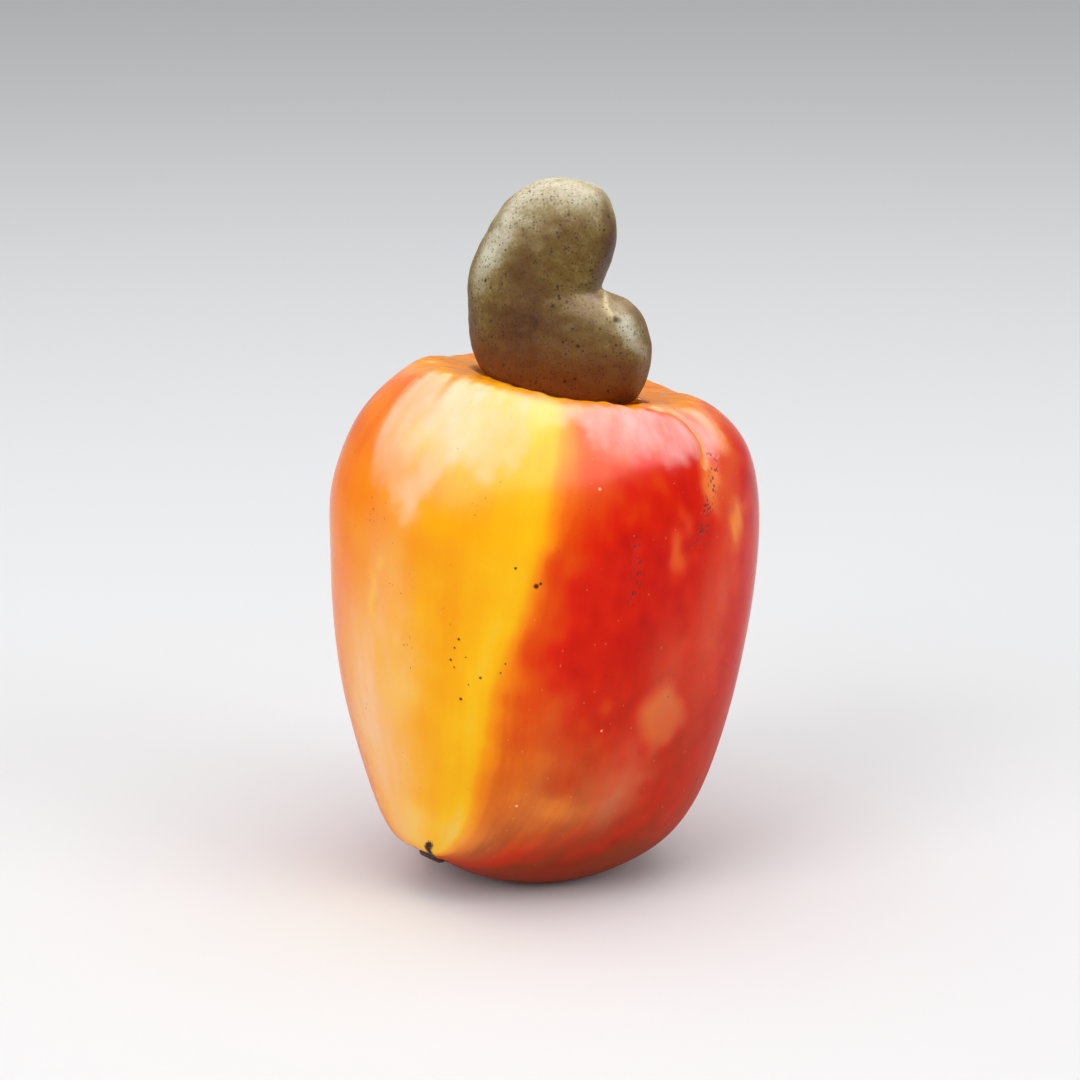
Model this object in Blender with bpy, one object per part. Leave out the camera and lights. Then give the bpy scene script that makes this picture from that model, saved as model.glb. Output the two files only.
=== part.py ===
"""A cashew apple with its nut, as picked, stood on its rounded stalk end.

Run it with blender --background --python part.py. The model is in metres, with +Z up.
The origin is on the surface that the fruit stands on, under the middle of the fruit's box.
The front of the fruit, where its stalk scar and the notch of the nut turn to, faces -Y.

The swollen stalk, or apple, is lofted through oval sections that climb a bent core line
from the stalk scar to the nut's seat, and is pleated by a formula. The nut is lofted in the
same way, through sections that fan round its notch.
"""

import math

import bmesh
import bpy
import numpy as np

MM = 0.001

# Driving dimensions, in millimetres and degrees
GAP = 0.3  # clearance where two pieces touch

# The apple's oval sections from the stalk scar up to the nut's seat. Each is its centre along
# the bend, its height, its lean along the bend and its half width.
APPLE_SECTIONS = (
    (-20.0, 5.9, 34.0, 0.0),
    (-19.4, 4.6, 32.0, 4.9),
    (-13.9, 4.3, 26.5, 12.6),
    (-8.8, 8.5, 25.0, 19.6),
    (-5.6, 14.4, 23.5, 24.3),
    (-3.7, 22.7, 21.0, 27.3),
    (-2.1, 32.5, 17.5, 29.0),
    (-0.8, 42.2, 13.5, 29.9),
    (0.1, 51.0, 10.0, 30.2),
    (1.1, 58.2, 8.0, 29.3),
    (1.9, 64.6, 7.0, 27.0),
    (2.5, 69.4, 8.3, 22.9),
    (2.8, 72.4, 10.0, 17.9),
    (3.4, 71.8, 8.5, 11.3),
    (3.4, 71.3, 8.5, 0.0),
)
BEND_TURN = 40.0  # the stalk scar is down to the left and this far round to the front
APPLE_DEPTH = 0.965  # of its width
APPLE_SQUARENESS = 2.25  # 2 is an ellipse, and more is fuller at its corners

# The pleats that run down from the nut's seat. Each is its angle round the core line at the
# seat, its turn on the way down, its depth, its half width and how many sections it crosses.
PLEATS = (
    (-62.0, -22.0, 0.50, 2.8, 4.6),
    (-94.0, -10.0, 0.35, 3.2, 3.6),
    (-127.0, 0.0, 0.45, 4.0, 4.8),
    (-188.0, 22.0, 0.45, 2.4, 4.4),
    (-210.0, 12.0, 0.60, 2.6, 3.4),
    (-248.0, 14.0, 0.50, 3.2, 4.8),
    (-288.0, 8.0, 0.65, 3.4, 5.0),
    (-326.0, -8.0, 0.50, 3.0, 3.8),
    (-372.0, -14.0, 0.60, 3.2, 4.4),
)
LOBES = ((2, 25.0, 0.18), (3, 70.0, 0.30), (5, 10.0, 0.16))  # count, first angle, height
DIP = (-95.0, 2.2)  # the seat sinks towards this angle, at most this deep

# The nut's sections from its tip down to its base, fanned round its notch. Each is a point on
# the back of the kidney, a point on its notched side and its half thickness.
NUT_SECTIONS = (
    (-0.2, 28.7, -0.2, 28.7, 0.0),
    (-4.3, 28.1, 3.1, 28.0, 4.0),
    (-8.6, 25.2, 5.9, 25.0, 6.5),
    (-11.2, 21.6, 6.8, 21.3, 7.6),
    (-12.7, 17.9, 6.4, 17.8, 8.0),
    (-13.6, 14.3, 5.5, 14.9, 8.2),
    (-13.8, 11.2, 5.7, 13.4, 8.3),
    (-13.5, 8.2, 8.9, 12.9, 8.4),
    (-13.0, 5.6, 11.9, 10.3, 8.5),
    (-12.2, 3.0, 13.5, 6.3, 8.5),
    (-10.9, 0.8, 13.0, 1.9, 8.2),
    (-8.9, -0.8, 11.0, -1.6, 7.0),
    (-4.9, -1.8, 5.7, -2.7, 4.2),
    (0.2, -2.3, 0.2, -2.3, 0.0),
)
NUT_SQUARENESS = 2.25
CHEEKS = (0.8, 0.0)  # squarer by this much beside the notch, in front and behind
CHEEK_ROW, CHEEK_REACH = 5.3, 1.9  # the section where the cheeks are fullest, and their reach
NUT_TURN = -20.0  # the notch faces right and this far round to the front
NUT_LEAN = 5.0  # to the right
NUT_FOOT = (1.7, -1.3, 71.8)  # the middle of the nut's footprint on the apple

# The stub of woody stalk in the scar, turned about its own axis: (distance out, radius)
STUB_PROFILE = ((-2.2, 1.1), (-1.4, 1.35), (-0.2, 1.5), (0.5, 1.75), (1.1, 1.7), (1.4, 1.2))
STUB_SIDES = 20

APPLE_ROWS, APPLE_COLUMNS = 52, 84
NUT_ROWS, NUT_COLUMNS = 34, 40

# Colours as linear light, with roughness
APPLE_FINISH = (0.72, 0.13, 0.02), 0.30
NUT_FINISH = (0.24, 0.15, 0.08), 0.50
STUB_FINISH = (0.06, 0.03, 0.02), 0.80


def clear_scene():
    """Removes every object of the scene that the script starts in."""
    for obj in list(bpy.data.objects):
        bpy.data.objects.remove(obj, do_unlink=True)


def smooth_rows(table, count, mirrored_column):
    """Rows read evenly from a cubic spline through the table's rows, and how far along each is.

    The mirrored column carries on past both ends as its mirror image, so that a half width
    meets its pole squarely. The other columns are level there.
    """
    knots = np.array(table)
    last = len(knots) - 1
    system = np.eye(last + 1)
    balance = np.zeros_like(knots)
    for row in range(1, last):
        system[row, row - 1 : row + 2] = 1, 4, 1
        balance[row] = 3 * (knots[row + 1] - knots[row - 1])
    slopes = np.linalg.solve(system, balance)
    free = system.copy()
    free[0, :2] = 2, 1
    free[last, last - 1 :] = 1, 2
    column = balance[:, mirrored_column].copy()
    column[0] = 3 * (knots[1, mirrored_column] - knots[0, mirrored_column])
    column[last] = 3 * (knots[last, mirrored_column] - knots[last - 1, mirrored_column])
    slopes[:, mirrored_column] = np.linalg.solve(free, column)

    along = np.linspace(0, last, count)
    low = np.minimum(along.astype(int), last - 1)
    u = (along - low)[:, None]
    rows = (
        knots[low] * (1 + 2 * u) * (1 - u) ** 2
        + slopes[low] * u * (1 - u) ** 2
        + knots[low + 1] * u * u * (3 - 2 * u)
        + slopes[low + 1] * u * u * (u - 1)
    )
    return rows, along[:, None]


def turn(points, degrees):
    """Points turned about the upright axis, from +X towards +Y."""
    c, s = math.cos(math.radians(degrees)), math.sin(math.radians(degrees))
    return points @ np.array(((c, s, 0), (-s, c, 0), (0, 0, 1)))


def lean(points, degrees):
    """Points leaned to +X about the front-to-back axis."""
    c, s = math.cos(math.radians(degrees)), math.sin(math.radians(degrees))
    return points @ np.array(((c, 0, -s), (0, 1, 0), (s, 0, c)))


def outward(rings):
    """Unit normals of a grid of rings that climbs along +Z."""
    up = np.gradient(rings, axis=0)
    round_ring = np.roll(rings, -1, axis=1) - np.roll(rings, 1, axis=1)
    normals = np.cross(round_ring, up)
    return normals / np.maximum(np.linalg.norm(normals, axis=2, keepdims=True), 1e-9)


def ease(low, high, value):
    """0 below low and 1 above high, with a smooth cubic step between them."""
    u = np.clip((value - low) / (high - low), 0, 1)
    return u * u * (3 - 2 * u)


def apple_relief(along, angle, radius):
    """How far the apple's skin stands proud: broad lobes, less each pleat's groove and the dip.

    A pleat is a bell-shaped groove across. Along, it starts at the foot of the nut, is deepest
    a third of the way down and dies away. The dip lets the nut sink in at its front.
    """
    seat = len(APPLE_SECTIONS) - 2
    height = np.zeros(np.broadcast_shapes(along.shape, angle.shape))
    belly = np.sin(math.pi * along / (seat + 1)) ** 2
    for count, first, size in LOBES:
        height += size * belly * np.cos(count * (angle - math.radians(first)))
    for first, drift, depth, half_width, reach in PLEATS:
        run = np.clip((seat - along) / reach, 0, 1)
        fold = 27 / 4 * run * (1 - run) ** 2
        middle = np.radians(first + drift * run)
        off = (angle - middle + math.pi) % (2 * math.pi) - math.pi
        height -= depth * fold * np.exp(-((off * radius / half_width) ** 2))
    toward, deepest = DIP
    side = (0.5 + 0.5 * np.cos(angle - math.radians(toward))) ** 1.5
    return height - deepest * side * ease(10.9, 12.7, along) * (1 - ease(13.3, 14.0, along))


def apple_rings():
    """The apple's skin as rings of points, in millimetres, from the scar to the nut's seat.

    Each ring is a superellipse in a plane that leans along the bend, about the core line.
    """
    rows, along = smooth_rows(APPLE_SECTIONS, APPLE_ROWS, mirrored_column=3)
    out, height, tilt, half = (rows[:, i, None] for i in range(4))
    angle = np.linspace(0, 2 * math.pi, APPLE_COLUMNS, endpoint=False)[None, :]
    c, s = np.cos(angle), np.sin(angle)
    n = APPLE_SQUARENESS
    reach = half * (np.abs(c) ** n + np.abs(s / APPLE_DEPTH) ** n) ** (-1 / n)
    tilt = np.radians(tilt)
    out = out + reach * c * np.cos(tilt)
    height = height - reach * c * np.sin(tilt)
    rings = np.stack([out, reach * s, height], axis=2)
    rings += outward(rings) * apple_relief(along, angle, half)[:, :, None]
    return turn(rings, BEND_TURN)


def nut_rings():
    """The nut's shell as rings of points, in millimetres, from its base up to its tip.

    Each ring is a superellipse that spans from the back of the kidney to its notched side.
    Beside the notch it is squarer, which gives the kidney its full cheeks.
    """
    rows, along = smooth_rows(NUT_SECTIONS, NUT_ROWS, mirrored_column=4)
    back_x, back_z, notch_x, notch_z, half = (rows[::-1, i, None] for i in range(5))
    angle = np.linspace(0, 2 * math.pi, NUT_COLUMNS, endpoint=False)[None, :]
    c, s = np.cos(angle), np.sin(angle)
    from_tip = along[::-1]
    fullness = np.where(s < 0, *CHEEKS) * (c > 0)
    n = NUT_SQUARENESS + fullness * np.exp(-(((from_tip - CHEEK_ROW) / CHEEK_REACH) ** 2))
    reach = (np.abs(c) ** n + np.abs(s) ** n) ** (-1 / n)
    c, s = reach * c, reach * s
    rings = np.stack(
        [
            (back_x + notch_x) / 2 + (notch_x - back_x) / 2 * c,
            half * s,
            (back_z + notch_z) / 2 + (notch_z - back_z) / 2 * c,
        ],
        axis=2,
    )
    return lean(turn(rings, NUT_TURN), NUT_LEAN) + np.array(NUT_FOOT)


def closed_mesh(name, rings):
    """A closed mesh of rings. The first and the last one have shrunk to a pole each."""
    poles = rings[0, :1], rings[-1, :1]
    rings = rings[1:-1]
    rows, columns, _ = rings.shape
    points = np.concatenate([rings.reshape(-1, 3), *poles])
    index = np.arange(rows * columns).reshape(rows, columns)
    beside = np.roll(index, -1, axis=1)
    quads = np.stack([index[:-1], beside[:-1], beside[1:], index[1:]], axis=2).reshape(-1, 4)
    foot, top = rows * columns, rows * columns + 1
    faces = quads.tolist()
    faces += [(foot, b, a) for a, b in zip(index[0].tolist(), beside[0].tolist())]
    faces += [(top, a, b) for a, b in zip(index[-1].tolist(), beside[-1].tolist())]
    mesh = bpy.data.meshes.new(name)
    mesh.from_pydata((points * MM).tolist(), [], faces)
    mesh.shade_smooth()
    return mesh


def finish(name, colour, roughness):
    """A Principled material of one colour, as linear light."""
    material = bpy.data.materials.new(name)
    material.use_nodes = True
    shader = material.node_tree.nodes["Principled BSDF"]
    shader.inputs["Base Color"].default_value = (*colour, 1.0)
    shader.inputs["Roughness"].default_value = roughness
    shader.inputs["Metallic"].default_value = 0.0
    material.diffuse_color = (*colour, 1.0)
    return material


def add_piece(mesh, material):
    """Puts a finished piece in the scene, under its mesh's name."""
    mesh.materials.append(material)
    piece = bpy.data.objects.new(mesh.name, mesh)
    bpy.context.scene.collection.objects.link(piece)
    return piece


def cut_with(piece, mesh):
    """Cuts a mesh out of a piece, as a guide that stays hidden."""
    cutter = bpy.data.objects.new(mesh.name, mesh)
    bpy.context.scene.collection.objects.link(cutter)
    cutter.hide_render = True
    cutter.display_type = "WIRE"
    cut = piece.modifiers.new(mesh.name, "BOOLEAN")
    cut.operation = "DIFFERENCE"
    cut.solver = "EXACT"
    cut.object = cutter


def swell(mesh, by):
    """Moves each vertex outwards along its normal, in metres."""
    bm = bmesh.new()
    bm.from_mesh(mesh)
    bm.normal_update()
    for vertex in bm.verts:
        vertex.co += vertex.normal * by
    bm.to_mesh(mesh)
    bm.free()
    return mesh


def flatten_foot(mesh):
    """Cuts the mesh off level at z = 0 and closes it with the small flat that it stands on."""
    bm = bmesh.new()
    bm.from_mesh(mesh)
    everything = bm.verts[:] + bm.edges[:] + bm.faces[:]
    cut = bmesh.ops.bisect_plane(
        bm, geom=everything, plane_co=(0, 0, 0), plane_no=(0, 0, -1), clear_outer=True
    )
    rim = [edge for edge in cut["geom_cut"] if isinstance(edge, bmesh.types.BMEdge)]
    bmesh.ops.contextual_create(bm, geom=rim)
    for vertex in bm.verts:
        if abs(vertex.co.z) < 0.001 * MM:
            vertex.co.z = 0.0
    bmesh.ops.recalc_face_normals(bm, faces=bm.faces[:])
    bm.to_mesh(mesh)
    bm.free()
    return mesh


def stub_mesh(name):
    """The stub, turned to its profile and set in the scar, square to the skin there."""
    distance, radius = np.array(STUB_PROFILE)[::-1].T
    distance = np.concatenate([distance[:1], distance, distance[-1:]])[:, None]
    radius = np.concatenate([[0], radius, [0]])[:, None]
    angle = np.linspace(0, 2 * math.pi, STUB_SIDES, endpoint=False)[None, :]
    rings = np.stack([radius * np.cos(angle), radius * np.sin(angle), -distance + 0 * angle], axis=2)
    out, height, tilt, _ = APPLE_SECTIONS[0]
    rings = lean(rings, tilt) + np.array((out, 0, height))
    return closed_mesh(name, turn(rings, BEND_TURN))


clear_scene()
apple = add_piece(flatten_foot(closed_mesh("cashew_apple", apple_rings())), finish("skin", *APPLE_FINISH))
add_piece(closed_mesh("cashew_nut", nut_rings()), finish("shell", *NUT_FINISH))
add_piece(stub_mesh("stalk_stub"), finish("stalk", *STUB_FINISH))
cut_with(apple, swell(closed_mesh("nut_seat", nut_rings()), GAP * MM))
cut_with(apple, swell(stub_mesh("stub_socket"), GAP * MM))
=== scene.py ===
"""A cashew apple and its nut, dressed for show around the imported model.

It runs from top to bottom: the apple, the nut, the stub of stalk, then the floor, light and
camera. Sizes are in millimetres and degrees unless a name says otherwise.
"""

import math

import bpy
import numpy as np
from mathutils import Matrix


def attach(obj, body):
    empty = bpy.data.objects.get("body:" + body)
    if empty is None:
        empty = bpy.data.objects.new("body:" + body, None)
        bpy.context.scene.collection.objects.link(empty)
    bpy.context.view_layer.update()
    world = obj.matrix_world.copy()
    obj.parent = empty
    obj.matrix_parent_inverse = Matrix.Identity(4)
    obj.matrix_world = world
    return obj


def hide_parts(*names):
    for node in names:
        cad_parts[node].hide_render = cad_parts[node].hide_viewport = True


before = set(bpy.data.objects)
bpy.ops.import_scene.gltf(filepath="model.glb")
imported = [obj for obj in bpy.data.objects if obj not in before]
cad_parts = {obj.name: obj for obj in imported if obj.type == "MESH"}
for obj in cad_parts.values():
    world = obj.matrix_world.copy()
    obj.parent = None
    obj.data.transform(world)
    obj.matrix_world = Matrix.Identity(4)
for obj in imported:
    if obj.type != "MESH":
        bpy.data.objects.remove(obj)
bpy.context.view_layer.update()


# The apple
# It is the swollen stalk of the cashew: juicy flesh under a thin waxy skin, grown in one piece
# from the stalk scar, low on the left, up to the seat of the nut. Soft pleats run down from the
# seat, and its colours run along the same lines, from gold at the front to red on the right.

MM = 0.001
# Oval sections from the scar up: along the bend, height, lean along the bend, half width
APPLE_SECTIONS = (
    (-20.0, 5.9, 34.0, 0.0),
    (-19.4, 4.6, 32.0, 4.9),
    (-13.9, 4.3, 26.5, 12.6),
    (-8.8, 8.5, 25.0, 19.6),
    (-5.6, 14.4, 23.5, 24.3),
    (-3.7, 22.7, 21.0, 27.3),
    (-2.1, 32.5, 17.5, 29.0),
    (-0.8, 42.2, 13.5, 29.9),
    (0.1, 51.0, 10.0, 30.2),
    (1.1, 58.2, 8.0, 29.3),
    (1.9, 64.6, 7.0, 27.0),
    (2.5, 69.4, 8.3, 22.9),
    (2.8, 72.4, 10.0, 17.9),
    (3.4, 71.8, 8.5, 11.3),
    (3.4, 71.3, 8.5, 0.0),
)
SEAT = len(APPLE_SECTIONS) - 2  # the section that the nut covers
BEND_TURN = 40.0  # the stalk scar is down to the left and this far round to the front
APPLE_DEPTH = 0.965  # of its width
APPLE_SQUARENESS = 2.25  # 2 is an ellipse, and more is fuller at its corners
# Pleats from the nut's seat down: angle there, turn on the way, depth, half width, reach
PLEATS = (
    (-62.0, -22.0, 0.50, 2.8, 4.6),
    (-94.0, -10.0, 0.35, 3.2, 3.6),
    (-127.0, 0.0, 0.45, 4.0, 4.8),
    (-188.0, 22.0, 0.45, 2.4, 4.4),
    (-210.0, 12.0, 0.60, 2.6, 3.4),
    (-248.0, 14.0, 0.50, 3.2, 4.8),
    (-288.0, 8.0, 0.65, 3.4, 5.0),
    (-326.0, -8.0, 0.50, 3.0, 3.8),
    (-372.0, -14.0, 0.60, 3.2, 4.4),
)
LOBES = ((2, 25.0, 0.18), (3, 70.0, 0.30), (5, 10.0, 0.16))  # count, first angle, height
DIP = (-95.0, 2.2)  # the seat sinks towards this angle, at most this deep
CREASES = ((23, 1.6), (37, -2.1))  # round the seat: how many, and how far swells bend them
CREASE_HEIGHT = 0.06
PUCKER_COUNT, PUCKER_HEIGHT = 11, 0.12  # round the stalk scar
SWELL_SIZE, SWELL_HEIGHT = 17.0, 0.09
SKIN_INSET = 0.11  # holds the relief inside the solid's box
LIP_HEIGHT, LIP_HALF_WIDTH = 0.30, 1.3  # the skin rises round the nut's foot
SOCKET_DEPTH = 3.4  # and sinks under the nut, where it is hidden
SHOULDER = 9  # the section above which lip and socket are
APPLE_GRID = (260, 336)
SOLE_SOFTNESS = 0.35  # how softly the skin rounds into the flat it stands on

NUT_TURN = -20.0  # the notch faces right and this far round to the front
NUT_LEAN = 5.0  # to the right
NUT_FOOT = (1.7, -1.3, 71.8)  # the place on the apple that the nut's own frame stands on
FOOTPRINT = (12.9, 7.9, 0.7)  # the nut's foot: half length, half width, how far right of there


def smooth_rows(table, count, mirrored_column):
    """Rows read evenly from a cubic spline through the table's rows, and how far along each is.

    The mirrored column carries on past both ends as its mirror image, so that a half width
    meets its pole squarely. The other columns are level there.
    """
    knots = np.array(table)
    last = len(knots) - 1
    system = np.eye(last + 1)
    balance = np.zeros_like(knots)
    for row in range(1, last):
        system[row, row - 1 : row + 2] = 1, 4, 1
        balance[row] = 3 * (knots[row + 1] - knots[row - 1])
    slopes = np.linalg.solve(system, balance)
    free = system.copy()
    free[0, :2] = 2, 1
    free[last, last - 1 :] = 1, 2
    column = balance[:, mirrored_column].copy()
    column[0] = 3 * (knots[1, mirrored_column] - knots[0, mirrored_column])
    column[last] = 3 * (knots[last, mirrored_column] - knots[last - 1, mirrored_column])
    slopes[:, mirrored_column] = np.linalg.solve(free, column)

    along = np.linspace(0, last, count)
    low = np.minimum(along.astype(int), last - 1)
    u = (along - low)[:, None]
    rows = (
        knots[low] * (1 + 2 * u) * (1 - u) ** 2
        + slopes[low] * u * (1 - u) ** 2
        + knots[low + 1] * u * u * (3 - 2 * u)
        + slopes[low + 1] * u * u * (u - 1)
    )
    return rows, along[:, None]


def turn(points, degrees):
    """Points turned about the upright axis, from +X towards +Y."""
    c, s = math.cos(math.radians(degrees)), math.sin(math.radians(degrees))
    return points @ np.array(((c, s, 0), (-s, c, 0), (0, 0, 1)))


def lean(points, degrees):
    """Points leaned to +X about the front-to-back axis."""
    c, s = math.cos(math.radians(degrees)), math.sin(math.radians(degrees))
    return points @ np.array(((c, 0, -s), (0, 1, 0), (s, 0, c)))


def outward(rings):
    """Unit normals of a grid of rings: the way round each ring, crossed with the way up."""
    up = np.gradient(rings, axis=0)
    round_ring = np.roll(rings, -1, axis=1) - np.roll(rings, 1, axis=1)
    normals = np.cross(round_ring, up)
    return normals / np.maximum(np.linalg.norm(normals, axis=2, keepdims=True), 1e-9)


def ease(low, high, value):
    """0 below low and 1 above high, with a smooth cubic step between them."""
    u = np.clip((value - low) / (high - low), 0, 1)
    return u * u * (3 - 2 * u)


def ripples(points, size, seed, waves=28):
    """Smooth swells over points, mostly within 1 of 0.

    The formula is a sum of cosine waves of seeded random directions and phases, with lengths
    near size.
    """
    draw = np.random.default_rng(seed)
    total = np.zeros(points.shape[:-1])
    for _ in range(waves):
        way = draw.normal(size=3)
        way *= 2 * math.pi / (np.linalg.norm(way) * size * draw.uniform(0.7, 1.5))
        total += np.cos(points @ way + draw.uniform(0, 2 * math.pi))
    return total / math.sqrt(waves)


def around(angle, middle):
    """The angle from middle, in radians, within half a turn either way. Middle is in degrees."""
    return (angle - np.radians(middle) + math.pi) % (2 * math.pi) - math.pi


def surface(name, rings, **fields):
    """A closed smooth mesh object of rings, the first and the last shrunk to a pole each.

    Each field becomes a point attribute of the mesh, read at the same grid.
    """
    rows, columns = rings.shape[0] - 2, rings.shape[1]

    def listed(values):
        between = values[1:-1].reshape(-1, *values.shape[2:])
        return np.concatenate([between, values[:1, 0], values[-1:, 0]])

    points = listed(rings) * MM
    index = np.arange(rows * columns).reshape(rows, columns)
    beside = np.roll(index, -1, axis=1)
    foot, top = np.full(columns, rows * columns), np.full(columns, rows * columns + 1)
    quads = np.stack([index[:-1], beside[:-1], beside[1:], index[1:]], axis=2).reshape(-1, 4)
    foot_fan = np.stack([foot, beside[0], index[0]], axis=1)
    top_fan = np.stack([top, index[-1], beside[-1]], axis=1)
    fans = np.concatenate([foot_fan, top_fan])
    mesh = bpy.data.meshes.new(name)
    mesh.vertices.add(len(points))
    mesh.vertices.foreach_set("co", points.ravel())
    mesh.loops.add(quads.size + fans.size)
    mesh.loops.foreach_set("vertex_index", np.concatenate([quads.ravel(), fans.ravel()]))
    mesh.polygons.add(len(quads) + len(fans))
    starts = np.concatenate([np.arange(len(quads)) * 4, quads.size + np.arange(len(fans)) * 3])
    mesh.polygons.foreach_set("loop_start", starts)
    mesh.update(calc_edges=True)
    mesh.validate()
    mesh.shade_smooth()
    for field, values in fields.items():
        is_vector = values.ndim == 3
        attribute = mesh.attributes.new(field, "FLOAT_VECTOR" if is_vector else "FLOAT", "POINT")
        attribute.data.foreach_set("vector" if is_vector else "value", listed(values).ravel())
    piece = bpy.data.objects.new(name, mesh)
    bpy.context.scene.collection.objects.link(piece)
    return piece


def seat_distance(points):
    """How far outside the nut's oval footprint each point lies, level, and less than 0 inside.

    The formula is that of an ellipse: how far out the point is against the ellipse that way.
    """
    long_half, short_half, shift = FOOTPRINT
    flat = turn(points - np.array(NUT_FOOT), -NUT_TURN)
    x, y = flat[..., 0] - shift, flat[..., 1]
    away = np.hypot(x, y)
    share = np.hypot(x / long_half, y / short_half)
    return away * (1 - 1 / np.maximum(share, 0.05))


def apple_relief(along, angle, radius, points):
    """How far the skin stands proud: lobes, swells and creases, less the pleats and the dip.

    A pleat is a bell-shaped groove across. Along, it starts at the foot of the nut, is deepest
    a third of the way down and dies away. The creases are cosine waves round the seat, bent by
    the swells, and so is the pucker round the stalk scar.
    """
    belly = np.sin(math.pi * along / (SEAT + 1)) ** 2
    height = 0 * (along + angle)
    for count, first, size in LOBES:
        height += size * belly * np.cos(count * (angle - math.radians(first)))
    for first, drift, depth, half_width, reach in PLEATS:
        run = np.clip((SEAT - along) / reach, 0, 1)
        off = around(angle, first + drift * run)
        fold = depth * 27 / 4 * run * (1 - run) ** 2
        height -= fold * np.exp(-((off * radius / half_width) ** 2))
    dip_angle, dip_depth = DIP
    toward = (0.5 + 0.5 * np.cos(angle - math.radians(dip_angle))) ** 1.5
    height -= dip_depth * toward * ease(10.9, 12.7, along) * (1 - ease(13.3, 14.0, along))
    swell = ripples(points, SWELL_SIZE, seed=3)
    height += SWELL_HEIGHT * belly * swell - SKIN_INSET
    fan = sum(np.cos(count * angle + bend * swell) for count, bend in CREASES)
    height += CREASE_HEIGHT * fan * ease(9.6, 12.2, along) * (1 - ease(12.6, 13.2, along))
    pucker = np.cos(PUCKER_COUNT * angle + swell)
    pucker = pucker * ease(0.15, 0.5, along) * (1 - ease(0.5, 1.5, along))
    return height + PUCKER_HEIGHT * pucker


def apple_shape():
    """The skin as rings of points from the scar to the nut's seat, with its own coordinates.

    Each ring is a superellipse in a plane that leans along the bend, about the core line. The
    relief then moves each point along its normal, a lip rises round the nut, and what would be
    below the floor is eased flat.
    """
    count, columns = APPLE_GRID
    rows, along = smooth_rows(APPLE_SECTIONS, count, mirrored_column=3)
    out, height, tilt, half = (rows[:, i, None] for i in range(4))
    angle = np.linspace(0, 2 * math.pi, columns, endpoint=False)[None, :]
    c, s = np.cos(angle), np.sin(angle)
    n = APPLE_SQUARENESS
    reach = half * (np.abs(c) ** n + np.abs(s / APPLE_DEPTH) ** n) ** (-1 / n)
    tilt = np.radians(tilt)
    out = out + reach * c * np.cos(tilt)
    height = height - reach * c * np.sin(tilt)
    rings = np.stack([out, reach * s, height], axis=2)
    rings += outward(rings) * apple_relief(along, angle, half, rings)[:, :, None]
    rings = turn(rings, BEND_TURN)
    beyond = seat_distance(rings)
    lip = LIP_HEIGHT * np.exp(-((beyond / LIP_HALF_WIDTH) ** 2))
    socket = SOCKET_DEPTH * ease(0.2, -2.2, beyond)
    rings[:, :, 2] += (lip - socket) * (along > SHOULDER)
    sole = rings[:, :, 2]
    rings[:, :, 2] = (sole + np.sqrt(sole**2 + SOLE_SOFTNESS**2)) / 2
    return rings, along + 0 * angle, angle + 0 * along


# The sharp edge of the golden streak: how far along, and its angle there
STREAK_ALONG = (0.0, 2.0, 2.9, 4.2, 5.2, 6.2, 7.1, 8.2, 10.0, 13.0)
STREAK_ANGLE = (-152.0, -145.0, -143.0, -142.5, -141.0, -138.0, -133.5, -130.0, -128.5, -128.0)
# Ripeness against the angle from that edge: 0 is pale yellow, 1 is deep red
BLUSH = (
    (-180, 0.70),
    (-150, 0.76),
    (-120, 0.66),
    (-95, 0.52),
    (-78, 0.47),
    (-62, 0.43),
    (-48, 0.35),
    (-36, 0.28),
    (-27, 0.21),
    (-18, 0.19),
    (-10, 0.13),
    (-5, 0.09),
    (-2, 0.13),
    (0, 0.30),
    (2, 0.50),
    (5, 0.60),
    (11, 0.70),
    (18, 0.80),
    (40, 0.87),
    (60, 0.82),
    (76, 0.84),
    (110, 0.80),
    (150, 0.74),
    (180, 0.70),
)
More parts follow.
